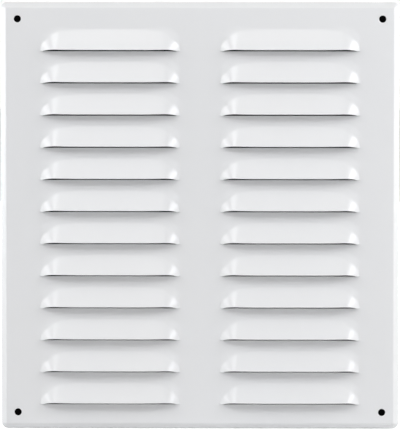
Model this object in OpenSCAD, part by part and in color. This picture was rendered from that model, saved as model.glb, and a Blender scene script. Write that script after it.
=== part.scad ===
// Louvred ventilation plate, pressed from one sheet of steel.
//
// The plate is shaped lying on its back: X runs across it, Y up its face and Z out of the
// wall, with the wall at Z = 0. It is then stood upright, so that the finished part faces
// -Y with its top towards +Z, and its origin is the middle of the wall plane.

/* [Plate] */
// Overall width over the rim, at the wall
plate_w = 235; // [225:1:260]
// Overall height over the rim, at the wall
plate_h = 252.5; // [246:0.5:280]
// Thickness of the sheet
sheet_t = 0.8; // [0.6:0.1:1]

/* [Rim] */
// How far the flat face stands off the wall
face_depth = 3.6; // [3.2:0.1:5]
// Distance from the edge of the flat face to the outside of the rim
rim_run = 3.8; // [3.4:0.1:5]
// Height of the square trimmed edge where the rim meets the wall
rim_land = 0.45; // [0.3:0.05:0.8]
// Outer radius of the fold between the face and the rim
rim_fold_r = 1.6; // [1.3:0.1:2]

/* [Screw holes] */
// Diameter of the four screw holes
hole_d = 4.2; // [3.5:0.1:5.5]
// Distance of the screw holes from the sides of the plate
hole_inset = 9.9; // [8:0.1:12]
// Radius of the rounded front edge of each screw hole
hole_edge_r = 0.35; // [0.2:0.05:0.4]

/* [Louvre pattern] */
// Number of columns of louvres
columns = 2; // [1:1:2]
// Number of louvres in each column
rows = 12; // [1:1:12]
// Distance between the middles of neighbouring columns
column_pitch = 106.2; // [98:0.1:112]
// Distance between the slits of neighbouring louvres
row_pitch = 19; // [17:0.1:19.2]
// Distance from the top of the plate to the uppermost slit
top_margin = 28.9; // [26:0.1:32]

/* [Louvre] */
// Length of each louvre, end to end
louvre_len = 82.4; // [60:0.1:90]
// Height of each louvre on the face, from the slit to the fold above it
hood_run = 13; // [12:0.1:14]
// How far the hood stands off the face over the slit
hood_rise = 5.3; // [4:0.1:6]
// Length over which the rounded ends blend into the fold above the hood
end_round = 13; // [12:0.1:15]
// Distance from the end of a louvre to the tip of the cone that shapes its end
end_tip_x = 8.5; // [7.5:0.1:9.5]
// How far below the slit the tip of that cone lies
end_tip_drop = 3; // [2:0.1:4]

/* [Lip] */
// Gap between the slit and the lip at mid-length, where forming pulled the lip up
lip_gap = 1; // [0.8:0.05:1.15]
// Widest gap, near each end of the lip
lip_gap_end = 1.2; // [1.2:0.05:1.6]
// Distance from the end of the louvre to that widest gap
lip_peak_x = 9; // [7:0.1:10]
// Length over which the lip rises from its middle height to that widest gap
lip_ramp = 12; // [8:0.5:16]
// Distance from the end of the louvre to the place where the lip leaves the slit
lip_start_x = 1.2; // [0.8:0.1:2]

/* [Hidden] */
$fn = 64;

// How far a cutting shape runs past what it cuts
past = 1;
// Depth by which a flat face cuts into the round that it runs out of, so that the two meet
// in one clear edge
bite = 0.001;

// Middle of the rim's fold, in the rim's section
fold_mid = [0, face_depth - rim_fold_r];
// Slope at which the rim falls from its fold to the trimmed edge
rim_drop = fold_mid.y - rim_land;
rim_angle = atan(rim_drop / rim_run) + asin(rim_fold_r / norm([rim_run, rim_drop]));

// Half the size of the flat face
flat_x = plate_w / 2 - rim_run;
flat_y = plate_h / 2 - rim_run;

// The rounded end of a hood is part of a cone that all but touches the hood's flat slope
// along one straight line. The cone's tip lies in the plane of that slope, a little below
// the slit, and its side passes through the end of the slit. It stands above the slope by
// end_lift along that line. Points are measured from the end of the slit.
end_lift = 0.25;
hood_angle = atan(hood_rise / hood_run);
hood_normal = [0, sin(hood_angle), cos(hood_angle)];
end_tip = [end_tip_x, -end_tip_drop, hood_rise * (1 + end_tip_drop / hood_run)];
touch_line = unit([end_round, hood_run, 0] - end_tip);
slit_end_line = unit(-end_tip);
end_tilt = atan((touch_line * slit_end_line - cos(end_lift))
                / (hood_normal * slit_end_line - sin(end_lift)));
end_half_angle = end_tilt + end_lift;
end_axis = cos(end_tilt) * touch_line - sin(end_tilt) * hood_normal;

// Radius of the arc that bounds the lip near each end
lip_arc_run = lip_peak_x - lip_start_x;
lip_arc_r = (lip_arc_run * lip_arc_run + lip_gap_end * lip_gap_end) / (2 * lip_gap_end);
// Height that the straight ramp of the lip reaches under the top of that arc
lip_ramp_top = lip_gap + 0.75 * (lip_gap_end - lip_gap);

function unit(v) = v / norm(v);

// Tip of the end cone for a surface that lies `inset` under the outer one
function tip(inset) = end_tip + end_axis * inset / sin(end_half_angle);

// Point at height y of the line where the cone is nearest to the slope, seen from the front
function touch(inset, y) =
  [tip(inset).x + (y - tip(inset).y) * touch_line.x / touch_line.y, y];

// Section of the rim outwards from the edge of the flat face, `inset` under its outer surface
module rim_section(inset) {
  r = rim_fold_r - inset;
  spread = [sin(rim_angle), cos(rim_angle)];
  past_spread = [sin(rim_angle + 10), cos(rim_angle + 10)];
  fold_end = fold_mid + (r - bite) * spread;
  bottom = inset > 0 ? -past : 0;
  outer = inset > 0 ? fold_end.x + (fold_end.y - bottom) / tan(rim_angle) : rim_run;
  land = inset > 0 ? bottom : rim_land;
  intersection() {
    translate(fold_mid) circle(r);
    polygon([fold_mid, fold_mid + [0, 2 * r], fold_mid + 2 * r * past_spread]);
  }
  polygon([fold_mid, fold_end, [outer, land], [outer, bottom], [0, bottom]]);
}

// Everything behind the surface of the plain pan, `inset` under its outer surface
module pan(inset) {
  bottom = inset > 0 ? -past : 0;
  translate([0, 0, bottom]) linear_extrude(face_depth - inset - bottom)
    square(2 * [flat_x, flat_y], center = true);
  for (m = [0, 1]) {
    mirror([m, 0, 0]) translate([flat_x, 0, 0]) rotate([90, 0, 0])
      linear_extrude(2 * flat_y, center = true) rim_section(inset);
    mirror([0, m, 0]) translate([0, flat_y, 0]) rotate([90, 0, 90])
      linear_extrude(2 * flat_x, center = true) rim_section(inset);
    for (n = [0, 1]) mirror([m, 0, 0]) mirror([0, n, 0])
      translate([flat_x, flat_y, 0]) rotate_extrude(angle = 90) rim_section(inset);
  }
}

// Everything behind the surface of one hood, `inset` under its outer surface, down to
// the height `root` under the face. The origin is the middle of the slit, on the face.
module hood(inset, root) {
  drop = inset / cos(hood_angle);
  difference() {
    rotate([90, 0, 90]) linear_extrude(louvre_len + 8 * past, center = true)
      polygon([[0, root], [(hood_rise - drop - root) / tan(hood_angle), root],
               [0, hood_rise - drop]]);
    for (m = [0, 1]) mirror([m, 0, 0]) translate([-louvre_len / 2, 0, 0])
      beyond_end(inset, root);
  }
}

// What lies outside the rounded end of a hood, measured from the end of its slit
module beyond_end(inset, root) {
  top = 2 * hood_run;
  reach = 2 * (tip(inset).z - root + 2 * past);
  out = -end_axis;
  difference() {
    translate([0, 0, root - past]) linear_extrude(hood_rise - root + 2 * past)
      polygon([touch(inset, -past), touch(inset, top), [-6 * past, top], [-6 * past, -past]]);
    translate(tip(inset)) rotate([0, acos(out.z), atan2(out.y, out.x)])
      translate([0, 0, -reach]) cylinder(h = reach, r1 = reach * tan(end_half_angle), r2 = 0);
  }
}

// What is trimmed off below the lip of one hood
module lip_trim() {
  arc_x = louvre_len / 2 - lip_peak_x;
  ramp_x = arc_x - lip_ramp;
  translate([0, 0, -sheet_t - past]) linear_extrude(hood_rise + sheet_t + 2 * past) {
    polygon([[-arc_x, -past], [-arc_x, lip_ramp_top], [-ramp_x, lip_gap],
             [ramp_x, lip_gap], [arc_x, lip_ramp_top], [arc_x, -past]]);
    for (m = [0, 1]) mirror([m, 0]) intersection() {
      translate([arc_x, lip_gap_end - lip_arc_r]) circle(lip_arc_r);
      translate([arc_x - lip_peak_x, -past]) square([2 * lip_peak_x + past, past + lip_gap_end]);
    }
  }
}

module each_louvre() {
  for (column = [0 : columns - 1], row = [0 : rows - 1])
    translate([(column - (columns - 1) / 2) * column_pitch,
               plate_h / 2 - top_margin - row * row_pitch, face_depth])
      children();
}

// Screw hole with its front edge rounded over, measured from the front of the face
module screw_hole() {
  r = hole_d / 2;
  rotate_extrude() {
    translate([0, -face_depth]) square([r, face_depth + past]);
    difference() {
      translate([0, -hole_edge_r]) square([r + hole_edge_r, hole_edge_r + past]);
      translate([r + hole_edge_r, -hole_edge_r]) circle(hole_edge_r + bite);
    }
  }
}

module each_screw_hole() {
  for (mx = [0, 1], my = [0, 1]) mirror([mx, 0, 0]) mirror([0, my, 0])
    translate([plate_w / 2 - hole_inset, plate_h / 2 - hole_inset, face_depth])
      children();
}

// The whole pressed sheet
module louvre_plate() {
  color("whitesmoke") rotate([90, 0, 0]) difference() {
    union() {
      pan(0);
      each_louvre() difference() {
        hood(0, -sheet_t);
        lip_trim();
      }
    }
    pan(sheet_t);
    each_louvre() hood(sheet_t, -sheet_t - past);
    each_screw_hole() screw_hole();
  }
}

louvre_plate();
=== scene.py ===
import math

import bpy
import numpy as np
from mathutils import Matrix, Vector
from mathutils.geometry import delaunay_2d_cdt


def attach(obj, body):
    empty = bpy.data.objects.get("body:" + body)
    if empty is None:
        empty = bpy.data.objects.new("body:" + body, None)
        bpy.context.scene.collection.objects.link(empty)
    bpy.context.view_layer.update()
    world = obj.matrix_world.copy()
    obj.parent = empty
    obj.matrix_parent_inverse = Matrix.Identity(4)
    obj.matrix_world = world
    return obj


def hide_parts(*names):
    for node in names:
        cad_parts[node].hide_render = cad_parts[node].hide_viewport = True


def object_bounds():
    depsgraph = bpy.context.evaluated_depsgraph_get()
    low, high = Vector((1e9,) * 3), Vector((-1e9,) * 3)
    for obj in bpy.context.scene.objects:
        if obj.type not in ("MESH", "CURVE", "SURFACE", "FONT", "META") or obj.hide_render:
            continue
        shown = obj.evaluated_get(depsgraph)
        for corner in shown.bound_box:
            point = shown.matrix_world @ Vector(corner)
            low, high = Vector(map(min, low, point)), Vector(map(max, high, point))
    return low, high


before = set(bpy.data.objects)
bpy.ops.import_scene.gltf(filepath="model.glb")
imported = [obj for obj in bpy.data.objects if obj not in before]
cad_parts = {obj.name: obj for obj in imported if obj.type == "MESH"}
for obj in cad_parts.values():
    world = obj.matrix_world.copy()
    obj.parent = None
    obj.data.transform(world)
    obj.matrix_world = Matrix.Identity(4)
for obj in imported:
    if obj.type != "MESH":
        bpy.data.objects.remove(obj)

cad_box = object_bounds()
cad_low, cad_high = cad_box

# The plate is worked out in millimetres: x across it, y up it, and its height out from the
# wall. The mesh is then turned into the frame's metres, where the plate faces -Y.
MM = 0.001

# Height of the photograph's frame, in pixels
FRAME_H = 430

# Camera that the photograph was taken with, fitted to the plate's outline and holes, in
# metres and degrees
CAMERA_DISTANCE = 3.0
CAMERA_ELEVATION = 3.91
CAMERA_AZIMUTH = 0.70
CAMERA_ROLL = 0.024
CAMERA_FOCAL_PX = 5075.5
CAMERA_CLIP_END = 20
SENSOR_MM = 36
# Point of the wall plane that the camera looks at
CAMERA_TARGET = Vector((0.00003, 0, 0.00042))

# Sizes of the plate in millimetres, the same as its solid has
SHEET_T = 0.8
FACE_DEPTH = 3.6
RIM_RUN = 3.8
RIM_LAND = 0.45
RIM_FOLD_R = 1.6
HOLE_R = 2.1
HOLE_INSET = 9.9
HOLE_EDGE_R = 0.35
COLUMNS = 2
ROWS = 12
COLUMN_PITCH = 106.2
ROW_PITCH = 19.0
TOP_MARGIN = 28.9
LOUVRE_LEN = 82.4
HOOD_RUN = 13.0
HOOD_RISE = 5.3
END_ROUND = 13.0
END_TIP_X = 8.5
END_TIP_DROP = 3.0
LIP_GAP = 1.0
LIP_GAP_END = 1.2
LIP_PEAK_X = 9.0
LIP_RAMP = 12.0
LIP_START_X = 1.2
# Share of the lip's rise towards its ends that its straight ramp takes
LIP_RAMP_SHARE = 0.75

# Radius of the fold round a hood, which the solid leaves sharp: along its straight top,
# at its upper corners, where the fold opens out, and at the ends of the slit
TOP_FOLD_R = 3.2
CORNER_FOLD_R = 13.0
SLIT_FOLD_R = 0.9
# Radius that the coat gives to the cut edges of the sheet
COAT_EDGE_R = 0.18
# Width of the cut at the ends of a slit, where the lip still lies against the face, and the
# number of its widths over which it narrows to a point
CUT_W = 0.06
CUT_TAPER = 8
# How far the cut runs on past the slit, as a multiple of the reach of the fold there
CUT_OVERRUN = 1.2

# Number of steps in the round parts of the mesh
HOLE_SIDES = 32
HOLE_EDGE_STEPS = 3
RIM_STEPS = 5
CORNER_STEPS = 10
EDGE_STEPS = 2
# Decimals of a millimetre in which points have to agree to be joined
JOIN_DECIMALS = 4
# Slack for places that rounding may push past a limit
TINY = 1e-6
# Distance to each side over which a slope is measured
SLOPE_STEP = 0.002
# Height over the slit, and distance beyond its ends, at which a louvre's patch ends
LOUVRE_TOP = 16.5
LOUVRE_MARGIN = 4.5
# Distance from the end of a slit over which the round of its edges fades out
EDGE_FADE = 2.5

# Heights over the slit between which the fold opens out to its full radius at a corner,
# and distances from the end of the louvre between which it narrows to the straight fold
CORNER_LOW = 2.5
CORNER_HIGH = 10.0
CORNER_NEAR = 4.0
CORNER_FAR = 26.0

# Half the length of a louvre
HALF = LOUVRE_LEN / 2

# Lines that divide a louvre, as stretches of (first, last, how many): in from its end and
# up from its lip. They lie closest where its surface bends most.
LINES_INWARDS = ((0, 9, 14), (10.3, CORNER_FAR, 10))
LINES_UPWARDS = ((0, 10.2, 12), (10.9, 12.2, 3), (12.5, 14.3, 6), (14.9, 15.6, 2))
# Number of further lines up to the middle of a louvre, and over the cut beyond its end
MIDDLE_LINES = 3
CUT_LINES = 2
# Width of the narrow strip of mesh just past the end of the cut
CUT_SURROUND = 0.7

# Paint: its darker and its lighter shade, and its least and greatest roughness
COAT_DARKER = (0.844, 0.852, 0.868, 1)
COAT_LIGHTER = (0.856, 0.860, 0.870, 1)
COAT_ROUGHNESS = (0.21, 0.27)

# Stage, in metres: the floor's half width and how far it lies under the plate, and how far
# the black sheet of painted shade stays inside the plate's outline and in front of the wall
FLOOR_REACH = 4.0
FLOOR_DROP = 0.5 * MM
SHADE_SHEET_INSET = 2 * MM
SHADE_SHEET_GAP = 0.1 * MM
# Glow of the floor for bounced light, and how much more of it the camera sees
FLOOR_GLOW = 0.01
FLOOR_GLOW_SEEN = 0.73
# Strength of the room's own light
ROOM_LIGHT = 0.02


def unit(v):
    """Vectors of length 1 in the same directions."""
    return v / np.linalg.norm(v, axis=-1, keepdims=True)


def end_cone():
    """Cone that shapes the end of a hood: tip, axis, cosine of its half angle, touching line.

    It touches the flat slope along one line and passes through the end of the slit, from
    which its points are measured.
    """
    hood_angle = math.atan(HOOD_RISE / HOOD_RUN)
    normal = np.array([0, math.sin(hood_angle), math.cos(hood_angle)])
    tip = np.array([END_TIP_X, -END_TIP_DROP, HOOD_RISE * (1 + END_TIP_DROP / HOOD_RUN)])
    touch_line = unit(np.array([END_ROUND, HOOD_RUN, 0]) - tip)
    slit_line = unit(-tip)
    half_angle = math.atan((touch_line @ slit_line - 1) / (normal @ slit_line))
    axis = math.cos(half_angle) * touch_line - math.sin(half_angle) * normal
    return tip, axis, math.cos(half_angle), touch_line


CONE_TIP, CONE_AXIS, CONE_COS, TOUCH_LINE = end_cone()


def sharp_hood(x, y):
    """Height over the face of a hood with sharp folds. It runs on below the face outside."""
    in_from_end = HALF - np.abs(x)
    slope = HOOD_RISE * (1 - y / HOOD_RUN)
    dx, dy = in_from_end - CONE_TIP[0], y - CONE_TIP[1]
    along = CONE_AXIS[0] * dx + CONE_AXIS[1] * dy
    a = CONE_AXIS[2] ** 2 - CONE_COS ** 2
    b = CONE_AXIS[2] * along
    c = along ** 2 - CONE_COS ** 2 * (dx * dx + dy * dy)
    cone = CONE_TIP[2] - (b + np.sqrt(b * b - a * c)) / a
    beyond_touch = dx < dy * TOUCH_LINE[0] / TOUCH_LINE[1]
    return np.where(beyond_touch, cone, slope)


def gradient(height, x, y):
    """Slope of a height across the plate and up it."""
    d = SLOPE_STEP
    return ((height(x + d, y) - height(x - d, y)) / (2 * d),
            (height(x, y + d) - height(x, y - d)) / (2 * d))


def ease(t):
    """Smooth step from 0 to 1."""
    t = np.clip(t, 0, 1)
    return t * t * (3 - 2 * t)


def fold_radius(x, y):
    """Radius of the fold round a hood, which opens out towards the hood's upper corners."""
    up = ease((y - CORNER_LOW) / (CORNER_HIGH - CORNER_LOW))
    along = ease((HALF - np.abs(x) - CORNER_NEAR) / (CORNER_FAR - CORNER_NEAR))
    upper = CORNER_FOLD_R + along * (TOP_FOLD_R - CORNER_FOLD_R)
    return SLIT_FOLD_R + up * (upper - SLIT_FOLD_R)


def fold_reach(x, y):
    """Height over and under the sharp fold within which the round of the fold lies."""
    gx, gy = gradient(sharp_hood, x, y)
    steepness = np.hypot(gx, gy)
    return fold_radius(x, y) * np.tan(np.arctan(steepness) / 2) * steepness


def hood(x, y):
    """Height over the face of a hood whose folds are round."""
    h = sharp_hood(x, y)
    k = fold_reach(x, y)
    return np.where(h > k, h, np.where(h < -k, 0.0, (h + k) ** 2 / (4 * k)))


def hood_normal(x, y):
    """Direction that the outer surface of a hood faces."""
    gx, gy = gradient(hood, x, y)
    return unit(np.stack([-gx, -gy, np.ones_like(gx)], -1))


# Place along the line of the slit where the cut ends, a little past the round of the fold
slit_end = np.array(HALF), np.array(0.0)
slit_end_slope = abs(gradient(sharp_hood, *slit_end)[0])
CUT_END = HALF + CUT_OVERRUN * float(fold_reach(*slit_end) / slit_end_slope)


def lip(x):
    """Distance of the lip over the slit."""
    in_from_end = HALF - np.abs(x)
    run = LIP_PEAK_X - LIP_START_X
    r = (run * run + LIP_GAP_END ** 2) / (2 * LIP_GAP_END)
    off = np.clip(np.abs(in_from_end - LIP_PEAK_X), 0, r)
    arc = LIP_GAP_END - r + np.sqrt(r * r - off * off)
    ramp_top = LIP_GAP + LIP_RAMP_SHARE * (LIP_GAP_END - LIP_GAP)
    share = np.clip((LIP_PEAK_X + LIP_RAMP - in_from_end) / LIP_RAMP, 0, 1)
    ramp = LIP_GAP + share * (ramp_top - LIP_GAP)
    gap = np.where(in_from_end > LIP_PEAK_X, np.maximum(arc, ramp), arc)
    cut = CUT_W * np.clip((CUT_END - np.abs(x)) / CUT_W / CUT_TAPER, 0, 1)
    return np.maximum(gap, cut)


class Mesh:
    """Patches of points in plate coordinates: across, up and out from the wall."""

    def __init__(self):
        self.points = []
        self.normals = []
        self.faces = []
        self.count = 0

    def add_points(self, points, normals):
        """Adds points with their normals, and returns the number of the first."""
        first = self.count
        self.points.append(points.reshape(-1, 3))
        self.normals.append(normals.reshape(-1, 3))
        self.count += self.points[-1].shape[0]
        return first

    def add_grid(self, points, normals, flip=False):
        """Quads over a grid of points, which face along i x j of the grid, or with flip away."""
        ni, nj = points.shape[:2]
        index = self.add_points(points, normals) + np.arange(ni * nj).reshape(ni, nj)
        quads = np.stack(
            [index[:-1, :-1], index[1:, :-1], index[1:, 1:], index[:-1, 1:]], -1
        ).reshape(-1, 4)
        self.faces.extend((quads[:, ::-1] if flip else quads).tolist())

    def add_sheet(self, front, normals):
        """Front and back of the sheet."""
        self.add_grid(front, normals)
        self.add_grid(front - SHEET_T * normals, -normals, flip=True)

    def build(self, name):
        """One mesh, with the points that patches share joined."""
        points = np.concatenate(self.points)
        normals = np.concatenate(self.normals)
        _, first, index = np.unique(
            np.round(points, JOIN_DECIMALS), axis=0, return_index=True, return_inverse=True
        )
        index = index.ravel()
        faces = []
        for face in self.faces:
            corners = [int(index[i]) for i in face]
            corners = [c for i, c in enumerate(corners) if c != corners[i - 1]]
            if len(set(corners)) > 2:
                faces.append(corners)
        total = np.zeros((len(first), 3))
        np.add.at(total, index, normals)
        across, up, out = points[first].T
        mesh = bpy.data.meshes.new(name)
        mesh.from_pydata((np.stack([across, -out, up], -1) * MM).tolist(), [], faces)
        mesh.shade_smooth()
        nx, nz, ny = unit(total).T
        mesh.normals_split_custom_set_from_vertices(np.stack([nx, -ny, nz], -1).tolist())
        return mesh


def side(a, b):
    """Direction from one corner of a section to the next, and the normal to its left."""
    along = unit(np.array(b[:2]) - np.array(a[:2]))
    return along, np.array([-along[1], along[0]])


def rounded(corners, steps):
    """Points and normals along a line of (u, h, radius) corners that turns clockwise.

    The first and last corner have no radius.
    """
    points, normals = [], []
    for before, corner, after in zip(corners, corners[1:], corners[2:]):
        along_in, normal_in = side(before, corner)
        along_out, normal_out = side(corner, after)
        turn = math.acos(np.clip(normal_in @ normal_out, -1, 1))
        radius = corner[2]
        start = np.array(corner[:2]) - along_in * radius * math.tan(turn / 2)
        middle = start - normal_in * radius
        for step in np.linspace(0, 1, steps + 1):
            angle = turn * step
            normal = math.cos(angle) * normal_in + math.sin(angle) * along_in
            points.append(middle + radius * normal)
            normals.append(normal)
    first, last = np.array(corners[0][:2]), np.array(corners[-1][:2])
    points = [first, *points, last]
    normals = [side(*corners[:2])[1], *normals, side(*corners[-2:])[1]]
    return np.array(points), np.array(normals)


def sweep(mesh, section, normals, path, outward, flip):
    """Runs a section (u, h) round a closed path of centres and outward directions."""
    path = np.array(path)
    outward = np.array(outward)
    flat = path[:, None, :] + section[None, :, :1] * outward[:, None, :]
    heights = np.broadcast_to(section[None, :, 1:], (*flat.shape[:2], 1))
    flat_normals = normals[None, :, :1] * outward[:, None, :]
    normal_heights = np.broadcast_to(normals[None, :, 1:], (*flat.shape[:2], 1))
    mesh.add_grid(
        np.concatenate([flat, heights], -1),
        np.concatenate([flat_normals, normal_heights], -1),
        flip,
    )


def circle(count, start=0.0, turn=2 * math.pi):
    """Directions round a circle or an arc of it, in equal steps."""
    angles = start + np.linspace(0, turn, count + 1)
    return np.stack([np.cos(angles), np.sin(angles)], -1)


def add_rim(mesh, flat_x, flat_y):
    """Folded rim with its trimmed edge, front and back, as one section run round the plate."""
    drop = FACE_DEPTH - RIM_FOLD_R - RIM_LAND
    lean = math.atan(drop / RIM_RUN) + math.asin(RIM_FOLD_R / math.hypot(RIM_RUN, drop))
    inner_r = RIM_FOLD_R - SHEET_T
    inner_corner = inner_r * math.tan(lean / 2)
    inner_foot = inner_corner + (FACE_DEPTH - SHEET_T) / math.tan(lean)
    # point of the rim's back where the two parts of its section meet
    meeting = (inner_foot - RIM_LAND, RIM_LAND * math.tan(lean), 0)
    section, normals = rounded([
        (0, FACE_DEPTH, 0),
        (RIM_FOLD_R * math.tan(lean / 2), FACE_DEPTH, RIM_FOLD_R),
        (RIM_RUN, RIM_LAND, COAT_EDGE_R),
        (RIM_RUN, 0, COAT_EDGE_R),
        (inner_foot, 0, COAT_EDGE_R),
        meeting,
    ], RIM_STEPS)
    inner, inner_normals = rounded([
        (0, FACE_DEPTH - SHEET_T, 0),
        (inner_corner, FACE_DEPTH - SHEET_T, inner_r),
        meeting,
    ], RIM_STEPS)
    section = np.concatenate([section, inner[-2::-1]])
    normals = np.concatenate([normals, -inner_normals[-2::-1]])
    path, outward = [], []
    quarter = math.pi / 2
    corners = [(flat_x, flat_y), (-flat_x, flat_y), (-flat_x, -flat_y), (flat_x, -flat_y)]
    for number, corner in enumerate(corners):
        for direction in circle(CORNER_STEPS, number * quarter, quarter):
            path.append(corner)
            outward.append(direction)
    path.append(path[0])
    outward.append(outward[0])
    sweep(mesh, section, normals, path, outward, flip=True)


def add_screw_hole(mesh, centre):
    """Wall of one screw hole. It returns its radius at the front and at the back."""
    section, normals = rounded([
        (-HOLE_R - HOLE_EDGE_R, FACE_DEPTH, 0),
        (-HOLE_R, FACE_DEPTH, HOLE_EDGE_R),
        (-HOLE_R, FACE_DEPTH - SHEET_T, COAT_EDGE_R),
        (-HOLE_R - COAT_EDGE_R, FACE_DEPTH - SHEET_T, 0),
    ], HOLE_EDGE_STEPS)
    around = circle(HOLE_SIDES)
    sweep(mesh, section, normals, [centre] * len(around), -around, flip=False)
    return HOLE_R + HOLE_EDGE_R, HOLE_R + COAT_EDGE_R


def places(stretches):
    """Places along a line, from its stretches of (first, last, how many)."""
    return np.concatenate([np.linspace(*stretch) for stretch in stretches])


def louvre_lines():
    """Places across a louvre at which it is divided, from its middle."""
    cut_end = HALF - CUT_END
    in_from_end = np.concatenate([
        [-LOUVRE_MARGIN, cut_end - CUT_SURROUND, cut_end],
        np.linspace(cut_end, 0, CUT_LINES + 2)[1:-1],
        places(LINES_INWARDS),
        np.linspace(CORNER_FAR, HALF, MIDDLE_LINES + 1)[1:],
    ])
    right = HALF - in_from_end
    return np.concatenate([-right, right[-2::-1]])


def louvre_rows():
    """Shares of the way from the lip to the top of its patch at which a louvre is divided."""
    return np.append(places(LINES_UPWARDS), LOUVRE_TOP) / LOUVRE_TOP


def edge_profile(front, normals, ahead, radius):
    """Round cut edge of the sheet, from its front to its back, running out along `ahead`."""
    radius = radius[:, None]
    quarter = np.linspace(0, math.pi / 2, EDGE_STEPS + 1)
    points, point_normals = [], []
    for depth, angles in ((radius, quarter), (SHEET_T - radius, math.pi - quarter[::-1])):
        for angle in angles:
            normal = math.cos(angle) * normals + math.sin(angle) * ahead
            points.append(front - depth * normals + radius * normal)
            point_normals.append(normal)
    return np.stack(points, 1), np.stack(point_normals, 1)


def add_louvre(mesh, centre_x, slit_y):
    """One louvre: its hood, the strip of face below its slit, and the cut edges of both."""
    x = louvre_lines()
    inside = np.abs(x) <= CUT_END + TINY
    radius = COAT_EDGE_R * np.clip((CUT_END - np.abs(x)) / EDGE_FADE, 0, 1)
    share = louvre_rows()
    # hood, from its lip to the flat of the face above it
    low = np.where(inside, lip(x) + radius, 0.0)
    y = low[:, None] * (1 - share) + LOUVRE_TOP * share
    across = np.broadcast_to(x[:, None], y.shape)
    height = hood(across, y)
    height[:, -1] = 0
    height[[0, -1]] = 0
    height[~inside, 0] = 0
    normals = hood_normal(across, y)
    place = np.array([centre_x, slit_y, FACE_DEPTH])
    mesh.add_sheet(np.stack([across, y, height], -1) + place, normals)
    # strip below the slit
    strip_y = np.stack([np.full_like(x, LOUVRE_TOP - ROW_PITCH), -radius], 1)
    across = np.broadcast_to(x[:, None], strip_y.shape)
    up = np.broadcast_to([0.0, 0.0, 1.0], (*strip_y.shape, 3))
    strip = np.stack([across, strip_y, np.zeros_like(strip_y)], -1) + place
    mesh.add_sheet(strip, up)
    # cut edges of the slit and of the lip
    cut = np.flatnonzero(inside)
    lip_points = (np.stack([x, low, hood(x, low)], -1) + place)[cut]
    lip_points[[0, -1], 2] = FACE_DEPTH
    lip_normals = hood_normal(x, low)[cut]
    lip_normals[[0, -1]] = (0, 0, 1)
    down = unit(np.cross(np.broadcast_to([1.0, 0, 0], lip_normals.shape), lip_normals))
    points, edge_normals = edge_profile(lip_points, lip_normals, down, radius[cut])
    mesh.add_grid(points, edge_normals, flip=True)
    slit_points = strip[cut, 1]
    slit_up = np.broadcast_to([0.0, 1.0, 0.0], slit_points.shape)
    points, edge_normals = edge_profile(slit_points, up[cut, 1], slit_up, radius[cut])
    mesh.add_grid(points, edge_normals)


def add_flat(mesh, flat_x, flat_y, blocks, holes, depth, facing):
    """Flat of the face between the rim, the louvres and the screw holes.

    The blocks are the columns of louvres, by the places of the points along their sides.
    """
    points, edges = [], []

    def add_loop(loop):
        first = len(points)
        points.extend((float(px), float(py)) for px, py in loop)
        edges.extend(
            (first + i, first + (i + 1) % len(loop)) for i in range(len(loop))
        )

    add_loop([(-flat_x, -flat_y), (flat_x, -flat_y), (flat_x, flat_y), (-flat_x, flat_y)])
    for xs, ys in blocks:
        add_loop(
            [(px, ys[0]) for px in xs[:-1]] + [(xs[-1], py) for py in ys[:-1]]
            + [(px, ys[-1]) for px in xs[:0:-1]] + [(xs[0], py) for py in ys[:0:-1]]
        )
    for (cx, cy), radius in holes:
        add_loop([(cx + radius * c, cy + radius * s) for c, s in circle(HOLE_SIDES)[:-1]])
    # output type 0 fills the whole outline, also the blocks and holes, which are left out below
    flat, _, triangles, *_ = delaunay_2d_cdt([Vector(p) for p in points], edges, [], 0, TINY)
    flat = np.array([tuple(p) for p in flat])

    def kept(triangle):
        cx, cy = flat[triangle].mean(0)
        in_block = any(xs[0] < cx < xs[-1] and ys[0] < cy < ys[-1] for xs, ys in blocks)
        in_hole = any(math.hypot(cx - hx, cy - hy) < r for (hx, hy), r in holes)
        return not in_block and not in_hole

    normals = np.broadcast_to([0.0, 0.0, facing], (len(flat), 3))
    first = mesh.add_points(np.column_stack([flat, np.full(len(flat), depth)]), normals)
    for triangle in triangles:
        if kept(triangle):
            corners = [first + i for i in triangle]
            mesh.faces.append(corners if facing > 0 else corners[::-1])


def plate_mesh():
    """The whole pressed sheet, front, back and cut edges."""
    mesh = Mesh()
    high = cad_high / MM
    flat_x, flat_y = high.x - RIM_RUN, high.z - RIM_RUN
    add_rim(mesh, flat_x, flat_y)
    front_holes, back_holes = [], []
    for sx, sy in ((-1, -1), (1, -1), (1, 1), (-1, 1)):
        centre = (sx * (high.x - HOLE_INSET), sy * (high.z - HOLE_INSET))
        front_r, back_r = add_screw_hole(mesh, centre)
        front_holes.append((centre, front_r))
        back_holes.append((centre, back_r))
    slits = [high.z - TOP_MARGIN - row * ROW_PITCH for row in range(ROWS)]
    lines = louvre_lines()
    blocks = []
    for column in range(COLUMNS):
        centre_x = (column - (COLUMNS - 1) / 2) * COLUMN_PITCH
        for slit_y in slits:
            add_louvre(mesh, centre_x, slit_y)
        heights = [slits[-1] + LOUVRE_TOP - ROW_PITCH]
        for slit_y in slits[::-1]:
            heights.extend(slit_y + LOUVRE_TOP * louvre_rows())
        blocks.append((centre_x + lines, np.array(heights)))
    add_flat(mesh, flat_x, flat_y, blocks, front_holes, FACE_DEPTH, 1.0)
    add_flat(mesh, flat_x, flat_y, blocks, back_holes, FACE_DEPTH - SHEET_T, -1.0)
    return mesh.build("pressed_plate")


def add_object(name, data):
    """Object in the scene, made from its mesh, lamp or camera data."""
    thing = bpy.data.objects.new(name, data)
    bpy.context.collection.objects.link(thing)
    return thing


def out_from_plate(azimuth, elevation, distance):
    """Place round the plate, by degrees from straight ahead towards its right, and up."""
    azimuth = math.radians(azimuth)
    elevation = math.radians(elevation)
    return distance * Vector((
        math.cos(elevation) * math.sin(azimuth),
        -math.cos(elevation) * math.cos(azimuth),
        math.sin(elevation),
    ))


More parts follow.
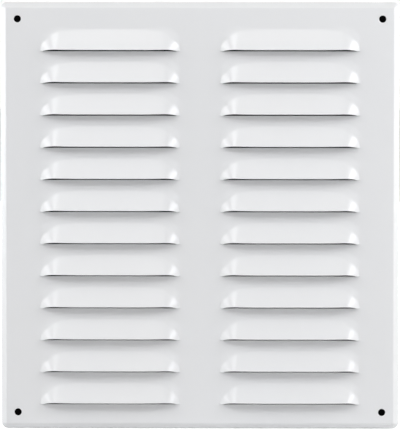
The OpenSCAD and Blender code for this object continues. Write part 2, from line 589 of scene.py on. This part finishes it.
def aim(thing, target):
    """Turns a lamp or camera at its place so that it looks at the target, with +Z up."""
    look = Vector(target) - thing.location
    thing.rotation_euler = look.to_track_quat("-Z", "Y").to_euler()


def add_camera():
    """Camera with the photograph's viewing angle and framing."""
    data = bpy.data.cameras.new("camera")
    data.sensor_fit = "VERTICAL"
    data.sensor_height = SENSOR_MM
    data.sensor_width = SENSOR_MM
    data.lens = CAMERA_FOCAL_PX * SENSOR_MM / FRAME_H
    data.clip_end = CAMERA_CLIP_END
    camera = add_object("camera", data)
    camera.location = CAMERA_TARGET + out_from_plate(
        CAMERA_AZIMUTH, CAMERA_ELEVATION, CAMERA_DISTANCE
    )
    aim(camera, CAMERA_TARGET)
    camera.rotation_euler.rotate_axis("Z", math.radians(CAMERA_ROLL))
    bpy.context.scene.camera = camera


class Nodes:
    """Short way to write a node tree."""

    def __init__(self, tree):
        self.tree = tree
        tree.nodes.clear()

    def add(self, kind, inputs=None, **settings):
        """Adds a node with its settings, and feeds its inputs."""
        node = self.tree.nodes.new(kind)
        for name, value in settings.items():
            setattr(node, name, value)
        for name, value in (inputs or {}).items():
            self.feed(node.inputs[name], value)
        return node

    def feed(self, socket, value):
        """Links another node's output to a socket, or sets a plain value on it."""
        if isinstance(value, bpy.types.NodeSocket):
            self.tree.links.new(value, socket)
        else:
            socket.default_value = value


def new_material(name):
    """Empty material, and the nodes to fill it with."""
    material = bpy.data.materials.new(name)
    material.use_nodes = True
    return material, Nodes(material.node_tree)


def seen_directly(n):
    """1 for what the camera sees, also by reflection or through glass, and 0 otherwise."""
    path = n.add("ShaderNodeLightPath")
    seen = n.add("ShaderNodeMath", {
        0: path.outputs["Is Camera Ray"], 1: path.outputs["Is Glossy Ray"],
    }, operation="MAXIMUM")
    seen = n.add("ShaderNodeMath", {
        0: seen.outputs["Value"], 1: path.outputs["Is Transmission Ray"],
    }, operation="MAXIMUM")
    return seen.outputs["Value"]


def spread_noise(n, noise, low, high):
    """Spreads the middle of a noise's range over the values from low to high."""
    spread = n.add("ShaderNodeMapRange", {
        "Value": noise.outputs["Fac"], "From Min": 0.3, "From Max": 0.7,
        "To Min": low, "To Max": high,
    })
    return spread.outputs["Result"]


def powder_coat():
    """White satin powder coat on steel: fine orange peel and a faint drift of its shade."""
    material, n = new_material("white_powder_coat")
    where = n.add("ShaderNodeTexCoord").outputs["Object"]
    drift = n.add("ShaderNodeTexNoise", {"Vector": where, "Scale": 9.0, "Detail": 2.0})
    colour = n.add("ShaderNodeMix", {
        "Factor": spread_noise(n, drift, 0.0, 1.0), "A": COAT_DARKER, "B": COAT_LIGHTER,
    }, data_type="RGBA")
    # orange peel: the coat's own small waves
    peel = n.add("ShaderNodeTexNoise", {"Vector": where, "Scale": 650.0, "Detail": 1.5})
    bump = n.add("ShaderNodeBump", {
        "Strength": 0.12, "Distance": 0.05 * MM, "Height": peel.outputs["Fac"],
    })
    coat = n.add("ShaderNodeBsdfPrincipled", {
        "Base Color": colour.outputs["Result"],
        "Roughness": spread_noise(n, peel, *COAT_ROUGHNESS),
        "Normal": bump.outputs["Normal"],
        "IOR": 1.5,
    })
    n.add("ShaderNodeOutputMaterial", {"Surface": coat.outputs["BSDF"]})
    return material


def add_lamp(name, azimuth, elevation, power, size=(0.7, 0.7), distance=2.0, tint=(1, 1, 1)):
    """Soft box that looks at the middle of the plate, in metres and watts."""
    data = bpy.data.lights.new(name, "AREA")
    data.shape = "RECTANGLE"
    data.size, data.size_y = size
    data.energy = power
    data.color = tint
    lamp = add_object(name, data)
    lamp.location = out_from_plate(azimuth, elevation, distance)
    aim(lamp, (0, 0, 0))
    lamp.visible_camera = False
    return lamp


def add_lights():
    """Soft boxes all round, whose places and powers were fitted to the photograph."""
    cool = (0.95, 0.965, 1.0)
    warm = (1.0, 0.985, 0.94)
    add_lamp("left_low_lamp", -90, 5, 9.1, tint=cool)
    add_lamp("left_lamp", -70, 25, 12.6, size=(1.0, 0.7))
    add_lamp("upper_left_lamp", -25, 45, 7.8)
    add_lamp("top_lamp", 0, 55, 4.2, size=(0.7, 1.3), tint=warm)
    add_lamp("overhead_lamp", 0, 85, 1.7, tint=warm)
    add_lamp("front_lamp", 15, 5, 2.2, tint=cool)
    add_lamp("right_lamp", 62, 25, 6.6, size=(0.56, 0.49), distance=1.4, tint=cool)
    add_lamp("right_side_lamp", 87, 25, 8.7, size=(0.9, 0.7), tint=warm)
    add_lamp("right_low_lamp", 90, 5, 6.0, tint=warm)
    # light for the hollow back, which bounces no further and so hardly reaches the front
    back_lamp = add_lamp("back_lamp", 180, 10, 32.0, size=(1.0, 0.7))
    back_lamp.data.cycles.max_bounces = 0


def add_world():
    """Even room light. What a camera or a reflection sees of the room is white."""
    world = bpy.data.worlds.new("room")
    bpy.context.scene.world = world
    world.use_nodes = True
    n = Nodes(world.node_tree)
    room = n.add("ShaderNodeBackground", {"Color": (1, 1, 1, 1), "Strength": ROOM_LIGHT})
    white = n.add("ShaderNodeBackground", {"Color": (1, 1, 1, 1), "Strength": 1.0})
    both = n.add("ShaderNodeMixShader", {
        0: seen_directly(n), 1: room.outputs["Background"], 2: white.outputs["Background"],
    })
    n.add("ShaderNodeOutputWorld", {"Surface": both.outputs["Shader"]})


def add_stage_sheet(name, corners, material):
    """Flat sheet with four corners, for the stage."""
    mesh = bpy.data.meshes.new(name)
    mesh.from_pydata(corners, [], [(0, 1, 2, 3)])
    mesh.materials.append(material)
    return add_object(name, mesh)


def add_painted_duct_shade():
    """Black sheet inside the back of the plate: painted shade, as in the mouth of a duct.

    It is clear from behind, and lets the light of the lamps through.
    """
    # black sheet of painted shade, which the slits and screw holes show in place of real shade
    material, n = new_material("painted_duct_shade")
    facing = n.add("ShaderNodeNewGeometry")
    painted_shade = n.add("ShaderNodeBsdfDiffuse", {"Color": (0.01, 0.01, 0.01, 1)})
    clear = n.add("ShaderNodeBsdfTransparent")
    path = n.add("ShaderNodeLightPath")
    clear_to = n.add("ShaderNodeMath", {
        0: facing.outputs["Backfacing"], 1: path.outputs["Is Shadow Ray"],
    }, operation="MAXIMUM")
    both = n.add("ShaderNodeMixShader", {
        0: clear_to.outputs["Value"], 1: painted_shade.outputs["BSDF"], 2: clear.outputs["BSDF"],
    })
    n.add("ShaderNodeOutputMaterial", {"Surface": both.outputs["Shader"]})
    x, z = cad_high.x - SHADE_SHEET_INSET, cad_high.z - SHADE_SHEET_INSET
    y = cad_high.y - SHADE_SHEET_GAP
    corners = [(-x, y, -z), (x, y, -z), (x, y, z), (-x, y, z)]
    sheet = add_stage_sheet("painted_duct_shade", corners, material)


def add_floor():
    """Pale floor just under the plate, which keeps the plate's shadow.

    A glow that only a camera or a reflection sees in full lifts it towards white.
    """
    material, n = new_material("floor")
    paint = n.add("ShaderNodeBsdfDiffuse", {"Color": (0.9, 0.9, 0.9, 1)})
    glow = n.add("ShaderNodeMath", {
        0: seen_directly(n), 1: FLOOR_GLOW_SEEN, 2: FLOOR_GLOW,
    }, operation="MULTIPLY_ADD")
    white = n.add("ShaderNodeEmission", {
        "Color": (1, 1, 1, 1), "Strength": glow.outputs["Value"],
    })
    lit = n.add("ShaderNodeAddShader", {
        0: paint.outputs["BSDF"], 1: white.outputs["Emission"],
    })
    n.add("ShaderNodeOutputMaterial", {"Surface": lit.outputs["Shader"]})
    reach = FLOOR_REACH
    z = cad_low.z - FLOOR_DROP
    corners = [(-reach, -reach, z), (reach, -reach, z), (reach, reach, z), (-reach, reach, z)]
    floor = add_stage_sheet("floor", corners, material)


def add_plate():
    """The pressed sheet with its round folds and edges, which stands for the sharper solid."""
    mesh = plate_mesh()
    mesh.materials.append(powder_coat())
    plate = add_object("pressed_plate", mesh)
    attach(plate, "root")
    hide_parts("louvre_plate")


bpy.context.scene.view_settings.view_transform = "Standard"
add_camera()
add_plate()
# black sheet of painted shade behind the slits and screw holes
add_painted_duct_shade()
add_floor()
add_lights()
add_world()
